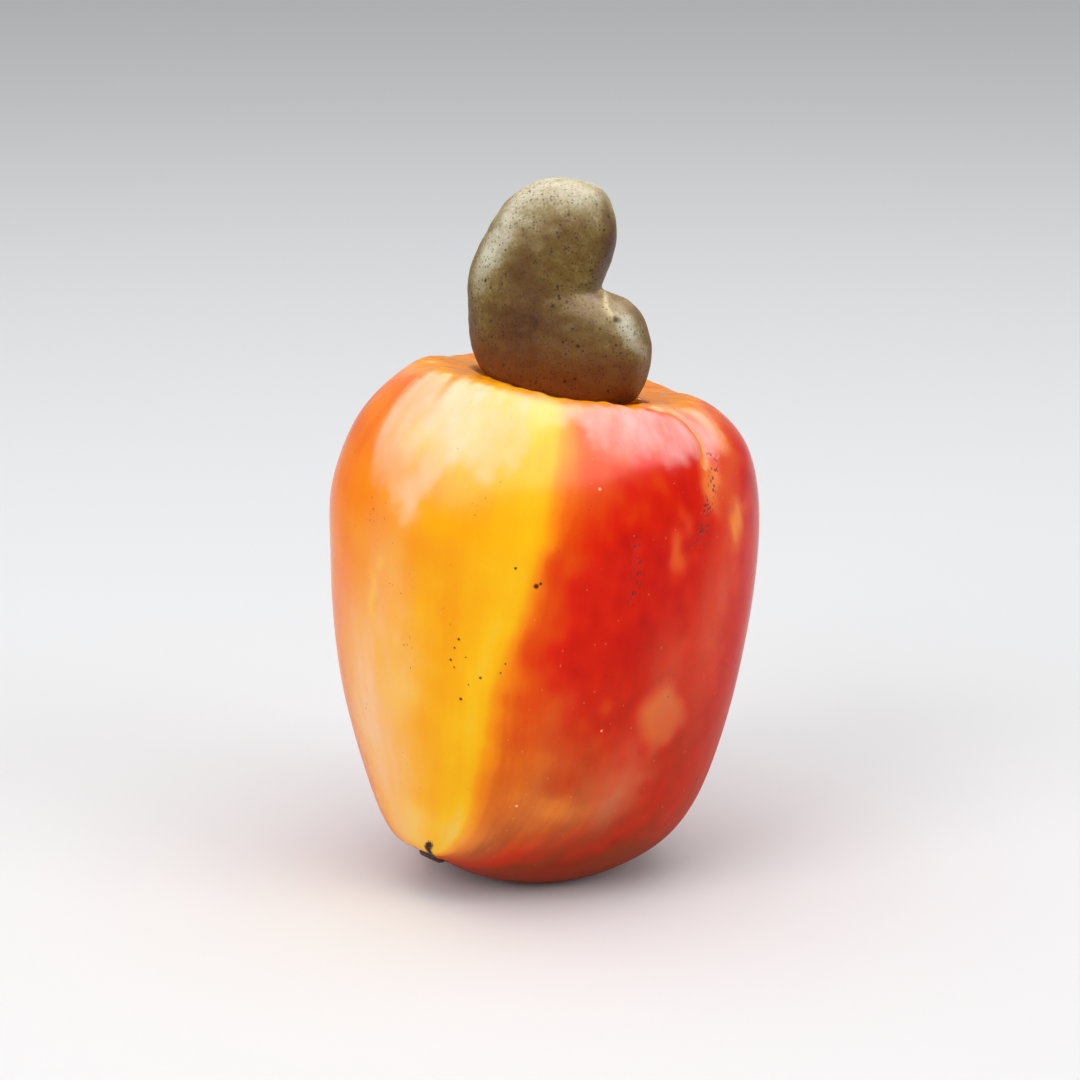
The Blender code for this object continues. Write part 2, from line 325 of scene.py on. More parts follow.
# Patches in the skin: along, angle, half length, half width, riper, paler, how crisp; the paler
# ones low at the left edge are a painted reflection
PATCHES = (
    (9.6, -77.0, 0.8, 4.0, -0.26, 0.10, 1.5),
    (8.7, -67.0, 0.45, 3.0, -0.28, 0.10, 1.5),
    (8.3, -89.5, 0.5, 4.0, -0.30, 0.06, 1.5),
    (9.2, -70.0, 1.4, 7.0, -0.14, 0.08, 1.0),
    (10.4, -64.0, 0.8, 3.5, -0.20, 0.0, 1.0),
    (9.6, -52.0, 1.2, 5.0, 0.10, 0.0, 1.0),
    (11.4, -62.0, 0.9, 24.0, -0.26, 0.0, 1.0),
    (10.6, -50.0, 1.0, 14.0, -0.20, 0.0, 1.0),
    (9.3, -104.0, 0.9, 11.0, 0.04, 0.0, 1.0),
    (6.3, -88.0, 0.7, 7.0, -0.05, 0.08, 1.0),
    (4.7, -93.0, 0.6, 7.0, -0.06, 0.22, 1.0),
    (4.1, -98.0, 0.6, 8.0, -0.12, 0.26, 1.0),
    (6.9, -74.0, 1.2, 7.0, -0.04, 0.10, 1.0),
    (3.6, -110.0, 0.6, 12.0, -0.20, 0.10, 1.0),
    (4.4, -122.0, 0.9, 9.0, -0.12, 0.06, 1.0),
    (3.2, -126.0, 0.7, 14.0, -0.10, 0.08, 1.0),
    (2.2, -136.0, 0.6, 14.0, -0.10, 0.14, 1.0),
    (5.2, -110.0, 0.7, 7.0, -0.06, 0.0, 1.0),
    (7.4, -121.0, 1.6, 5.0, 0.05, 0.0, 1.0),
    (6.7, 180.0, 0.5, 1.6, -0.20, 0.0, 1.0),
    (7.2, -176.0, 1.6, 9.0, -0.02, 0.14, 1.0),
    (5.2, -174.0, 1.3, 10.0, -0.08, 0.20, 1.0),
    (3.3, 171.0, 1.3, 15.0, -0.14, 0.62, 1.0),
    (5.0, 172.0, 1.7, 13.0, -0.06, 0.60, 1.0),
    (9.2, 160.0, 2.2, 12.0, 0.0, -0.20, 1.0),
    (6.8, -154.5, 1.3, 3.4, 0.07, 0.0, 1.0),
    (2.0, -178.0, 0.7, 20.0, -0.16, 0.34, 1.0),
)
DIAMOND = (5.66, -87.5, 0.54, 11.0)  # a pale patch: along, angle, half length, half width
DIAMOND_POWER = 1.4  # 1 is a sharp rhombus, and 2 an ellipse
DIAMOND_RIPER, DIAMOND_PALER = -0.25, 0.14
# Where the red side sets in more slowly: how much, from and to which section
SLOWER = ((1.4, 8.0, 9.8), (1.5, 6.6, 4.0))
GROUND_RIPER = 0.3  # painted shade: deeper red right of the streak, near the ground
SEAT_RIPENESS = 0.29


def apple_colours(along, angle, points):
    """How red the skin is, from 0, pale yellow, to 1, deep red, and how milky, with a painted
    reflection at the left edge, from 0 to 1.

    Ripeness is read off a curve against the angle from the golden streak's edge, which wavers.
    Bell-shaped patches change both, and ripples bend the patches. The skin is painted deeper red
    near the ground as painted shade, and orange at the nut's seat.
    """
    drift = ripples(points, 21.0, seed=11)
    waver = ripples(points, 7.0, seed=12)
    fine = ripples(points, 3.2, seed=13)
    edge = np.interp(along, STREAK_ALONG, STREAK_ANGLE)
    past = np.degrees(around(angle, edge)) + 0.35 * waver + 0.3 * fine
    past = past + 2.4 * drift * ease(18, 50, np.abs(past))
    slower = 1
    for more, first, last in SLOWER:
        slower = slower + more * ease(first, last, along)
    share = 1 / slower
    share = share + (1 - share) * ease(30, 150, past)
    past = np.where(past > 0, past * share, past)
    ripe = np.interp(past, *np.transpose(BLUSH))
    pale = 0 * ripe
    bent_along = along + 0.16 * waver + 0.07 * fine
    bent_angle = angle + np.radians(1.2 * waver + 0.8 * fine)
    for middle, direction, half_length, half_width, riper, paler, crispness in PATCHES:
        off = np.degrees(around(bent_angle, direction)) / half_width
        bell = np.exp(-((off**2 + ((bent_along - middle) / half_length) ** 2) ** crispness))
        ripe = ripe + riper * bell
        pale = pale + paler * bell
    middle, direction, half_length, half_width = DIAMOND
    off = np.abs(np.degrees(around(angle, direction)) + 0.5 * waver + 0.5 * fine) / half_width
    above = np.abs(along + 0.05 * waver - middle) / half_length
    outward_share = (off**DIAMOND_POWER + above**DIAMOND_POWER) ** (1 / DIAMOND_POWER)
    diamond = ease(1.15, 0.45, outward_share)
    ripe = ripe + DIAMOND_RIPER * diamond
    pale = pale + DIAMOND_PALER * diamond
    on_red = ease(0.55, 0.75, ripe)
    ripe = ripe + on_red * (0.015 * waver + 0.03 * fine) + (1 - on_red) * 0.02 * waver
    # Painted shade: right of the streak the skin turns deeper red near the ground, where less light
    # falls
    from_right = np.degrees(around(angle, -50.0))
    near_ground = ease(13.0, 1.0, points[:, :, 2])
    on_right = ease(-100, -70, from_right) * ease(150, 110, from_right)
    ripe = ripe + GROUND_RIPER * near_ground * on_right
    at_seat = ease(11.1, 11.8, along + 0.10 * waver + 0.05 * drift)
    ripe = ripe + (SEAT_RIPENESS + 0.05 * fine - ripe) * 0.85 * at_seat
    return np.clip(ripe, 0, 1), np.clip(pale, 0, 1)


# The painted sheen on the shoulders, a painted reflection of the light above: its lower edge
# against the angle round, as sections along
BLOOM_EDGE = (
    (-205, 10.6),
    (-198, 11.6),
    (-192, 10.1),
    (-187, 8.8),
    (-178, 8.6),
    (-168, 8.0),
    (-162.5, 8.6),
    (-160, 9.2),
    (-156, 9.6),
    (-148, 9.2),
    (-141, 9.7),
    (-133, 10.4),
    (-125, 10.7),
    (-115, 10.0),
    (-95, 9.8),
    (-75, 9.9),
    (-62, 10.2),
    (-55, 11.4),
    (-40, 11.8),
    (-10, 10.6),
    (20, 10.0),
    (60, 10.3),
    (100, 9.9),
    (140, 10.3),
)


def apple_bloom(along, angle, points):
    """How strong the painted sheen is, a painted reflection of the light above, from 0 to 1.

    It is a soft step at its wavering lower edge, thinner behind, and there is none at the nut.
    """
    waver = ripples(points, 6.0, seed=14)
    fine = ripples(points, 2.2, seed=15)
    edge = np.interp(np.degrees(angle), *np.transpose(BLOOM_EDGE), period=360)
    reach = along + 0.12 * waver + 0.08 * fine
    behind = ease(50, 90, np.degrees(np.abs(around(angle, -125.0))))
    thick = 1 - behind * (0.55 - 0.35 * ripples(points, 19.0, seed=16))
    above_edge = ease(edge - 0.15, edge + 0.5 + 0.6 * behind, reach)
    return thick * above_edge * (1 - ease(11.3, 11.8, reach))


# Fine nicks and scratches: the line each follows, as along and angle, and its half width
SCRATCHES = (
    (((10.05, -73.0), (9.62, -75.4), (9.25, -78.5), (9.0, -80.5), (8.4, -83.0)), 0.95),
    (((8.35, -104.6), (7.9, -104.2), (7.35, -104.6)), 0.80),
)
SCRATCH_DEPTH = 0.12

# A groove over the right shoulder, bare of the painted sheen: along and angle at places down it
GROOVE = (
    (11.6, -88.0),
    (11.43, -84.5),
    (11.23, -79.0),
    (10.97, -75.8),
    (10.62, -74.8),
    (10.3, -75.5),
    (9.9, -78.5),
)
GROOVE_HALF_WIDTH, GROOVE_DEPTH = 0.8, 0.3
GROOVE_RIPENESS = 0.48

# A torn strip of dry bark that clings to the skin beside the stub: places along it, in mm
BARK = ((-15.8, -19.2, 9.4), (-16.2, -18.5, 8.5), (-15.4, -17.6, 6.9), (-14.7, -15.4, 5.2))
BARK_HALF_WIDTH, BARK_HEIGHT = 0.6, 0.2


def skin_point(rings, sections, along, degrees):
    """The point of the grid nearest a place given as how far along and an angle in degrees."""
    row = round(along / sections * (rings.shape[0] - 1))
    column = round(degrees / 360 * rings.shape[1]) % rings.shape[1]
    return rings[row, column]


def near_path(points, path, half_width):
    """A bell-shaped fall-off, from 1 on a line through the places of a path to 0 far from it."""
    nearest = np.full(points.shape[:-1], np.inf)
    corners = np.array(path)
    for first, second in zip(corners, corners[1:]):
        stretch = second - first
        run = np.clip((points - first) @ stretch / (stretch @ stretch), 0, 1)
        away = np.linalg.norm(points - first - run[..., None] * stretch, axis=-1)
        nearest = np.minimum(nearest, away)
    return np.exp(-((nearest / half_width) ** 2))


def apple_scratches(rings):
    """1 along the middle of each scratch, falling off as a bell with the distance from it."""
    marked = np.zeros(rings.shape[:2])
    for places, half_width in SCRATCHES:
        path = [skin_point(rings, SEAT + 1, *place) for place in places]
        marked = np.maximum(marked, near_path(rings, path, half_width))
    return marked


def add_node(tree, kind, **values):
    """A new shader node, with its properties and its inputs set by name."""
    node = tree.nodes.new(kind)
    for name, value in values.items():
        if hasattr(node, name):
            setattr(node, name, value)
        else:
            node.inputs[name.replace("_", " ")].default_value = value
    return node


def new_finish(name):
    """An empty node material, its tree, and its Principled shader."""
    material = bpy.data.materials.new(name)
    material.use_nodes = True
    tree = material.node_tree
    return material, tree, tree.nodes["Principled BSDF"]


def sum_of(tree, *terms):
    """A socket that adds up sockets, each times its own factor: pairs of (socket, factor)."""
    total = None
    for socket, factor in terms:
        step = add_node(tree, "ShaderNodeMath", operation="MULTIPLY_ADD")
        tree.links.new(socket, step.inputs[0])
        step.inputs[1].default_value = factor
        step.inputs[2].default_value = 0.0
        if total is not None:
            tree.links.new(total, step.inputs[2])
        total = step.outputs[0]
    return total


def noise(tree, vector, scale, detail=3.0, roughness=0.55, stretch=(1, 1, 1)):
    """A noise pattern about 0, on a vector socket stretched along its axes first."""
    mapping = add_node(tree, "ShaderNodeMapping", vector_type="POINT")
    mapping.inputs["Scale"].default_value = stretch
    tree.links.new(vector, mapping.inputs["Vector"])
    texture = add_node(tree, "ShaderNodeTexNoise", Scale=scale, Detail=detail, Roughness=roughness)
    tree.links.new(mapping.outputs[0], texture.inputs["Vector"])
    centred = add_node(tree, "ShaderNodeMath", operation="SUBTRACT")
    tree.links.new(texture.outputs["Fac"], centred.inputs[0])
    centred.inputs[1].default_value = 0.5
    return centred.outputs[0]


def ramp(tree, socket, stops):
    """A colour socket: stops are pairs of (place, linear colour)."""
    node = tree.nodes.new("ShaderNodeValToRGB")
    elements = node.color_ramp.elements
    while len(elements) < len(stops):
        elements.new(0.5)
    for element, (place, colour) in zip(elements, stops):
        element.position = place
        element.color = (*colour, 1.0)
    tree.links.new(socket, node.inputs["Fac"])
    return node.outputs["Color"]


def blend_colour(tree, factor, first, second):
    """A colour socket: first where factor is 0 and second where it is 1. Second is a colour."""
    mix = add_node(tree, "ShaderNodeMix", data_type="RGBA")
    tree.links.new(factor, mix.inputs["Factor"])
    tree.links.new(first, mix.inputs["A"])
    mix.inputs["B"].default_value = (*second, 1.0)
    return mix.outputs["Result"]


# How ripeness shows as colour, in linear light
SKIN_STOPS = (
    (0.00, (0.90, 0.57, 0.080)),
    (0.08, (0.94, 0.50, 0.006)),
    (0.17, (0.93, 0.41, 0.003)),
    (0.30, (0.91, 0.31, 0.004)),
    (0.45, (0.90, 0.20, 0.004)),
    (0.58, (0.76, 0.072, 0.001)),
    (0.75, (0.70, 0.014, 0.001)),
    (0.88, (0.58, 0.006, 0.001)),
    (1.00, (0.30, 0.006, 0.001)),
)
MILK = (0.93, 0.52, 0.25)  # what pale skin and the painted reflection at the left edge turn towards
# Painted sheen: the whitish colour of a painted reflection of the light above, on the shoulders
BLOOM = (0.98, 0.80, 0.72)
DUSK = (0.26, 0.052, 0.008)  # painted shade on the skin low down
DARK_SPECK = (0.09, 0.018, 0.003)
PALE_SPECK = (0.95, 0.45, 0.22)
TORN_SKIN = (0.11, 0.030, 0.014)
BARK_BROWN = (0.045, 0.018, 0.012)
# The skin's own coordinates: the radius of a ring, and the length of a section
FLOW_RADIUS, FLOW_STEP = 29.0, 7.0


def flow(along, angle):
    """Coordinates that follow the skin: a ring of one radius, climbing evenly, in metres."""
    x, y = FLOW_RADIUS * np.cos(angle), FLOW_RADIUS * np.sin(angle)
    return np.stack([x, y, FLOW_STEP * along], axis=-1) * MM


# Specks in the skin: along, angle, radius
SPECKS = (
    (7.42, -131.5, 0.35),
    (7.47, -131.0, 0.21),
    (7.70, -136.8, 0.19),
    (6.20, -150.8, 0.19),
    (6.05, -152.6, 0.14),
    (5.86, -153.4, 0.18),
    (5.72, -152.4, 0.13),
    (5.92, -148.6, 0.11),
    (5.66, -144.2, 0.19),
    (5.22, -150.5, 0.22),
    (5.50, -148.0, 0.11),
    (5.98, -138.6, 0.13),
    (5.86, -138.8, 0.13),
)
PALE_SPECKS = (
    (9.38, -117.0, 0.22),
    (5.30, -108.6, 0.16),
    (3.55, -129.0, 0.20),
)


def spots(tree, place, centres):
    """A socket that is 1 at each of the centres, pairs of a point in metres and a radius."""
    total = None
    for centre, radius in centres:
        reach = add_node(tree, "ShaderNodeVectorMath", operation="DISTANCE")
        tree.links.new(place, reach.inputs[0])
        reach.inputs[1].default_value = centre
        spot = add_node(tree, "ShaderNodeMapRange")
        tree.links.new(reach.outputs["Value"], spot.inputs["Value"])
        spot.inputs["From Min"].default_value = 1.35 * radius
        spot.inputs["From Max"].default_value = 0.65 * radius
        if total is None:
            total = spot.outputs[0]
            continue
        either = add_node(tree, "ShaderNodeMath", operation="MAXIMUM")
        tree.links.new(total, either.inputs[0])
        tree.links.new(spot.outputs[0], either.inputs[1])
        total = either.outputs[0]
    return total


def product(tree, first, second):
    """A socket that is one socket times another."""
    node = add_node(tree, "ShaderNodeMath", operation="MULTIPLY")
    tree.links.new(first, node.inputs[0])
    tree.links.new(second, node.inputs[1])
    return node.outputs[0]


def raised(tree, socket, level):
    """A socket raised by a level."""
    node = add_node(tree, "ShaderNodeMath", operation="ADD")
    tree.links.new(socket, node.inputs[0])
    node.inputs[1].default_value = level
    return node.outputs[0]


def cells(tree, vector, scale, size, share, stretch=(1, 1, 1)):
    """Random small dots: a socket that is 1 inside size of the middle of some of the cells."""
    mapping = add_node(tree, "ShaderNodeMapping", vector_type="POINT")
    mapping.inputs["Scale"].default_value = stretch
    tree.links.new(vector, mapping.inputs["Vector"])
    voronoi = add_node(tree, "ShaderNodeTexVoronoi", Scale=scale)
    tree.links.new(mapping.outputs[0], voronoi.inputs["Vector"])
    dot = add_node(tree, "ShaderNodeMapRange")
    tree.links.new(voronoi.outputs["Distance"], dot.inputs["Value"])
    dot.inputs["From Min"].default_value = size * 1.3
    dot.inputs["From Max"].default_value = size * 0.7
    drawn = add_node(tree, "ShaderNodeSeparateColor")
    tree.links.new(voronoi.outputs["Color"], drawn.inputs[0])
    few = add_node(tree, "ShaderNodeMath", operation="LESS_THAN")
    tree.links.new(drawn.outputs[0], few.inputs[0])
    few.inputs[1].default_value = share
    return product(tree, dot.outputs[0], few.outputs[0])


def apple_skin(dark_specks, pale_specks):
    """Waxy skin: ripeness, milkiness, painted reflection, shade and sheen, specks, nicks and bark,
    over soft gloss.
    """
    material, tree, shader = new_finish("apple_skin")
    place = add_node(tree, "ShaderNodeTexCoord").outputs["Object"]
    ripe = add_node(tree, "ShaderNodeAttribute", attribute_name="ripeness").outputs["Fac"]
    pale = add_node(tree, "ShaderNodeAttribute", attribute_name="paleness").outputs["Fac"]
    scratched = add_node(tree, "ShaderNodeAttribute", attribute_name="scratched").outputs["Fac"]
    skin = add_node(tree, "ShaderNodeAttribute", attribute_name="flow").outputs["Vector"]
    streaks = noise(tree, skin, 420.0, detail=4.0, stretch=(1, 1, 0.16))
    clouds = noise(tree, skin, 150.0, detail=5.0, roughness=0.6, stretch=(1, 1, 0.55))
    grain = noise(tree, skin, 2600.0, detail=2.0)
    shade = sum_of(tree, (ripe, 1.0), (streaks, 0.13), (clouds, 0.09), (grain, 0.03))
    colour = ramp(tree, shade, SKIN_STOPS)
    # Milky skin, and a painted reflection at the left edge, low down
    milky = product(tree, pale, raised(tree, sum_of(tree, (clouds, 2.0), (streaks, 1.2)), 1.0))
    colour = blend_colour(tree, milky, colour, MILK)
    # Painted shade: the skin darkens towards the ground, where less light falls
    dusky = add_node(tree, "ShaderNodeAttribute", attribute_name="dusky").outputs["Fac"]
    dull = product(tree, dusky, raised(tree, sum_of(tree, (clouds, 1.2), (streaks, 0.5)), 0.5))
    colour = blend_colour(tree, dull, colour, DUSK)
    dots = cells(tree, skin, 620.0, 0.075, 0.5)
    colour = blend_colour(tree, sum_of(tree, (dots, 0.22)), colour, MILK)
    # Painted sheen: the shoulders turn whitish, a painted reflection of the light above
    bloom = add_node(tree, "ShaderNodeAttribute", attribute_name="bloom").outputs["Fac"]
    thick = product(tree, bloom, raised(tree, sum_of(tree, (clouds, 0.8), (streaks, 0.15)), 0.22))
    colour = blend_colour(tree, thick, colour, BLOOM)
    colour = blend_colour(tree, spots(tree, place, pale_specks), colour, PALE_SPECK)
    colour = blend_colour(tree, spots(tree, place, dark_specks), colour, DARK_SPECK)
    torn = product(tree, scratched, cells(tree, skin, 2300.0, 0.38, 0.6, stretch=(1, 1, 0.6)))
    colour = blend_colour(tree, torn, colour, TORN_SKIN)
    barky = add_node(tree, "ShaderNodeAttribute", attribute_name="bark").outputs["Fac"]
    ragged = add_node(tree, "ShaderNodeMapRange")
    tree.links.new(sum_of(tree, (barky, 1.0), (grain, 1.6), (clouds, 0.8)), ragged.inputs["Value"])
    ragged.inputs["From Min"].default_value = 0.40
    ragged.inputs["From Max"].default_value = 0.55
    colour = blend_colour(tree, ragged.outputs[0], colour, BARK_BROWN)
    tree.links.new(colour, shader.inputs["Base Color"])
    wax = sum_of(tree, (streaks, 0.10), (clouds, 0.10), (scratched, 0.25), (bloom, 0.15))
    wax = sum_of(tree, (wax, 1.0), (dusky, 0.30))
    tree.links.new(raised(tree, wax, 0.21), shader.inputs["Roughness"])
    bump = add_node(tree, "ShaderNodeBump", Strength=1.0, Distance=0.00004)
    tree.links.new(sum_of(tree, (streaks, 1.0), (grain, 0.35), (torn, -2.0)), bump.inputs["Height"])
    tree.links.new(bump.outputs[0], shader.inputs["Normal"])
    shader.inputs["Subsurface Weight"].default_value = 0.10
    shader.inputs["Subsurface Radius"].default_value = (1.0, 0.35, 0.12)
    shader.inputs["Subsurface Scale"].default_value = 0.003
    shader.inputs["IOR"].default_value = 1.18
    return material


rings, along, angle = apple_shape()
scratched = apple_scratches(rings)
bark = near_path(rings, BARK, BARK_HALF_WIDTH)
groove_line = [skin_point(rings, SEAT + 1, *place) for place in GROOVE]
groove = near_path(rings, groove_line, GROOVE_HALF_WIDTH)
detail = BARK_HEIGHT * bark - SCRATCH_DEPTH * scratched - GROOVE_DEPTH * groove
rings += detail[:, :, None] * outward(rings)
ripeness, paleness = apple_colours(along, angle, rings)
ripeness = ripeness + (GROOVE_RIPENESS - ripeness) * groove
apple = surface(
    "apple_skin_and_flesh",
    rings,
    ripeness=ripeness,
    paleness=paleness,
    # painted sheen on the shoulders, none in the groove
    bloom=apple_bloom(along, angle, rings) * (1 - groove),
    # painted shade low down, on the redder skin
    dusky=ease(46.0, 4.0, rings[:, :, 2]) * ease(0.30, 0.56, ripeness),
    scratched=scratched,
    bark=bark,
    flow=flow(along, angle),
)
apple.data.materials.append(
    apple_skin(
        [(skin_point(rings, SEAT + 1, *place) * MM, radius * MM) for *place, radius in SPECKS],
        [(skin_point(rings, SEAT + 1, *place) * MM, radius * MM) for *place, radius in PALE_SPECKS],
    )
)
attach(apple, "root")
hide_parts("cashew_apple")


# The nut
# It is the true fruit: a kidney in a hard leathery shell, grey-brown with dark specks. It grows
# out of the apple's top, base down, with its notch to the right and the seam's scar there.

# Sections from the tip down, fanned round the notch: a point on the back, one on the notched
# side, and the half thickness
NUT_SECTIONS = (
    (-0.2, 28.7, -0.2, 28.7, 0.0),
    (-4.3, 28.1, 3.1, 28.0, 4.0),
    (-8.6, 25.2, 5.9, 25.0, 6.5),
    (-11.2, 21.6, 6.8, 21.3, 7.6),
    (-12.7, 17.9, 6.4, 17.8, 8.0),
    (-13.6, 14.3, 5.5, 14.9, 8.2),
    (-13.8, 11.2, 5.7, 13.4, 8.3),
    (-13.5, 8.2, 8.9, 12.9, 8.4),
    (-13.0, 5.6, 11.9, 10.3, 8.5),
    (-12.2, 3.0, 13.5, 6.3, 8.5),
    (-10.9, 0.8, 13.0, 1.9, 8.2),
    (-8.9, -0.8, 11.0, -1.6, 7.0),
    (-4.9, -1.8, 5.7, -2.7, 4.2),
    (0.2, -2.3, 0.2, -2.3, 0.0),
)
NUT_SQUARENESS = 2.25
CHEEKS = (0.8, 0.0)  # squarer by this much beside the notch, in front and behind
CHEEK_ROW, CHEEK_REACH = 5.3, 1.9
NUT_GRID = (230, 300)
NUT_SPAN = len(NUT_SECTIONS) - 1
# The seam's scar in the notch, in the nut's own frame before it is turned: a pale ridge from the
# notch to a pit
RIDGE = (
    (5.7, 0.4, 13.3),
    (7.2, -3.2, 13.1),
    (8.1, -4.8, 12.6),
    (8.8, -5.1, 12.0),
    (9.3, -5.0, 11.3),
)
RIDGE_HALF_WIDTH, RIDGE_HEIGHT = 0.75, 0.42
PIT = ((9.5, -4.7, 10.9), (9.9, -4.3, 10.6))
PIT_HALF_WIDTH, PIT_DEPTH = 0.45, 0.5
# In front of the notch the shell is smoothed near this line, over so many rings up and down
FOLD = ((1.0, -8.2, 12.8), (4.0, -7.0, 12.9), (6.0, -5.2, 13.0))
FOLD_HALF_WIDTH = 3.2
FOLD_RINGS = 20
SHELL_SWELLS = ((0.09, 8.0, 21), (0.03, 2.6, 22))  # height, size and seed of each kind
SHELL_INSET = 0.16  # holds the relief inside the solid's box


def nut_shape():
    """The shell as rings of points from its base up to its tip, with its tone and painted light,
    ridge and pit.

    Each ring is a superellipse that spans from the back of the kidney to its notched side. Near
    the notch each point eases to the average of its neighbours up and down. Swells, the ridge
    and the pit then move each point along its normal.
    """
    count, columns = NUT_GRID
    rows, along = smooth_rows(NUT_SECTIONS, count, mirrored_column=4)
    back_x, back_z, notch_x, notch_z, half = (rows[::-1, i, None] for i in range(5))
    angle = np.linspace(0, 2 * math.pi, columns, endpoint=False)[None, :]
    c, s = np.cos(angle), np.sin(angle)
    fullness = np.where(s < 0, *CHEEKS) * (c > 0)
    n = NUT_SQUARENESS + fullness * np.exp(-(((NUT_SPAN - along - CHEEK_ROW) / CHEEK_REACH) ** 2))
    reach = (np.abs(c) ** n + np.abs(s) ** n) ** (-1 / n)
    c, s = reach * c, reach * s
    x = (back_x + notch_x) / 2 + (notch_x - back_x) / 2 * c
    z = (back_z + notch_z) / 2 + (notch_z - back_z) / 2 * c
    rings = np.stack([x, half * s, z], axis=2)
    averaged = sum(np.roll(rings, step, axis=0) for step in range(-FOLD_RINGS, FOLD_RINGS + 1))
    averaged = averaged / (2 * FOLD_RINGS + 1)
    rings += near_path(rings, FOLD, FOLD_HALF_WIDTH)[:, :, None] * (averaged - rings)
    ridge = near_path(rings, RIDGE, RIDGE_HALF_WIDTH)
    pit = near_path(rings, PIT, PIT_HALF_WIDTH)
    height = sum(swell * ripples(rings, size, seed) for swell, size, seed in SHELL_SWELLS)
    height = height - SHELL_INSET
    height += RIDGE_HEIGHT * ridge - PIT_DEPTH * pit
    rings += outward(rings) * height[:, :, None]
    tone = nut_tone(along, angle, rings[:, :, 2], rings)
    rings = lean(turn(rings, NUT_TURN), NUT_LEAN) + np.array(NUT_FOOT)
    return rings, tone, ridge * (1 - pit), pit


# The shell's tone against its height: brown low down, and grey at the top, partly a painted sheen
TONE_HEIGHTS = (-2.0, 4.0, 9.0, 15.0, 21.0, 25.0, 28.5)
TONES = (0.14, 0.22, 0.33, 0.40, 0.48, 0.62, 0.74)
# Painted sheen, painted highlights and painted shade, with some mottling: sections from the tip,
# angle, half length, half width, lighter by
NUT_PATCHES = (
    (4.0, -127.0, 1.9, 17.0, 0.50),
    (6.4, -131.0, 1.3, 11.0, 0.12),
    (2.7, -66.0, 0.8, 24.0, -0.20),
    (4.2, -92.0, 1.1, 15.0, -0.18),
    (5.8, -76.0, 1.1, 17.0, -0.16),
    (7.6, -100.0, 1.1, 13.0, -0.14),
    (5.0, -42.0, 1.3, 13.0, 0.08),
    (3.3, -8.0, 1.4, 16.0, -0.44),
    (6.9, -86.0, 0.9, 15.0, -0.16),
    (7.8, -50.0, 0.8, 9.0, 0.08),
    (8.1, -24.0, 0.8, 12.0, 0.60),
    (9.2, -10.0, 0.8, 14.0, 0.30),
    (4.4, 120.0, 2.0, 20.0, 0.16),
    (5.6, 80.0, 1.4, 20.0, -0.14),
    (2.8, 50.0, 1.0, 24.0, -0.12),
    (8.4, 30.0, 1.0, 16.0, 0.16),
)


def nut_tone(along, angle, upward, points):
    """How light the shell is, with its painted sheen and shade, from 0, brown, to 1, grey.

    It is read off a curve against the height, plus a bell for each patch and a slight ripple.
    """
    waver = ripples(points, 6.0, seed=23)
    tone = np.interp(upward, TONE_HEIGHTS, TONES)
    for middle, direction, half_length, half_width, lighter in NUT_PATCHES:
        off = np.degrees(around(angle, direction)) / half_width
        bell = np.exp(-(off**2) - ((NUT_SPAN - along - middle) / half_length) ** 2)
        tone = tone + lighter * bell
    return np.clip(tone + 0.04 * waver, 0, 1)


# Larger specks in the shell: sections from the tip, angle round, radius
NUT_SPECKS = (
    (1.48, -107.0, 0.20),
    (1.75, -115.5, 0.16),
    (2.10, -64.5, 0.22),
    (2.50, -71.0, 0.17),
    (2.76, -71.5, 0.19),
    (2.13, -10.5, 0.30),
    (2.61, -24.5, 0.19),
    (2.91, -53.5, 0.16),
    (5.13, -120.5, 0.22),
    (4.38, -29.0, 0.17),
    (4.88, -28.0, 0.16),
    (4.96, -33.0, 0.14),
    (6.01, -30.5, 0.17),
    (5.08, -57.5, 0.19),
    (5.91, -58.0, 0.22),
    (6.16, -54.5, 0.24),
    (6.49, -65.5, 0.23),
    (7.82, -65.0, 0.19),
    (7.94, -48.0, 0.16),
    (8.34, -74.0, 0.19),
    (8.37, -68.5, 0.16),
    (8.52, -65.5, 0.24),
    (8.79, -75.0, 0.16),
    (8.57, -41.0, 0.17),
    (8.84, -38.5, 0.16),
    (9.37, -117.0, 0.16),
    (9.89, -75.5, 0.23),
    (10.14, -44.0, 0.19),
)


# How tone, with its painted sheen and shade, shows as colour, in linear light
SHELL_STOPS = (
    (0.00, (0.058, 0.022, 0.006)),
    (0.20, (0.098, 0.043, 0.009)),
    (0.40, (0.122, 0.070, 0.013)),
    (0.55, (0.178, 0.122, 0.034)),
    (0.78, (0.330, 0.285, 0.175)),
    (1.00, (0.480, 0.440, 0.320)),
)
WARM_BROWN = (0.17, 0.042, 0.004)  # painted bounce light from the orange apple, on the shell near its base
SPECK = (0.026, 0.009, 0.002)
SEAM_SCAR = (0.48, 0.36, 0.18)
WARM_SHARE = 0.42
WARM_HEIGHTS = (82.0, 73.5)  # from none of the painted bounce light to all of it
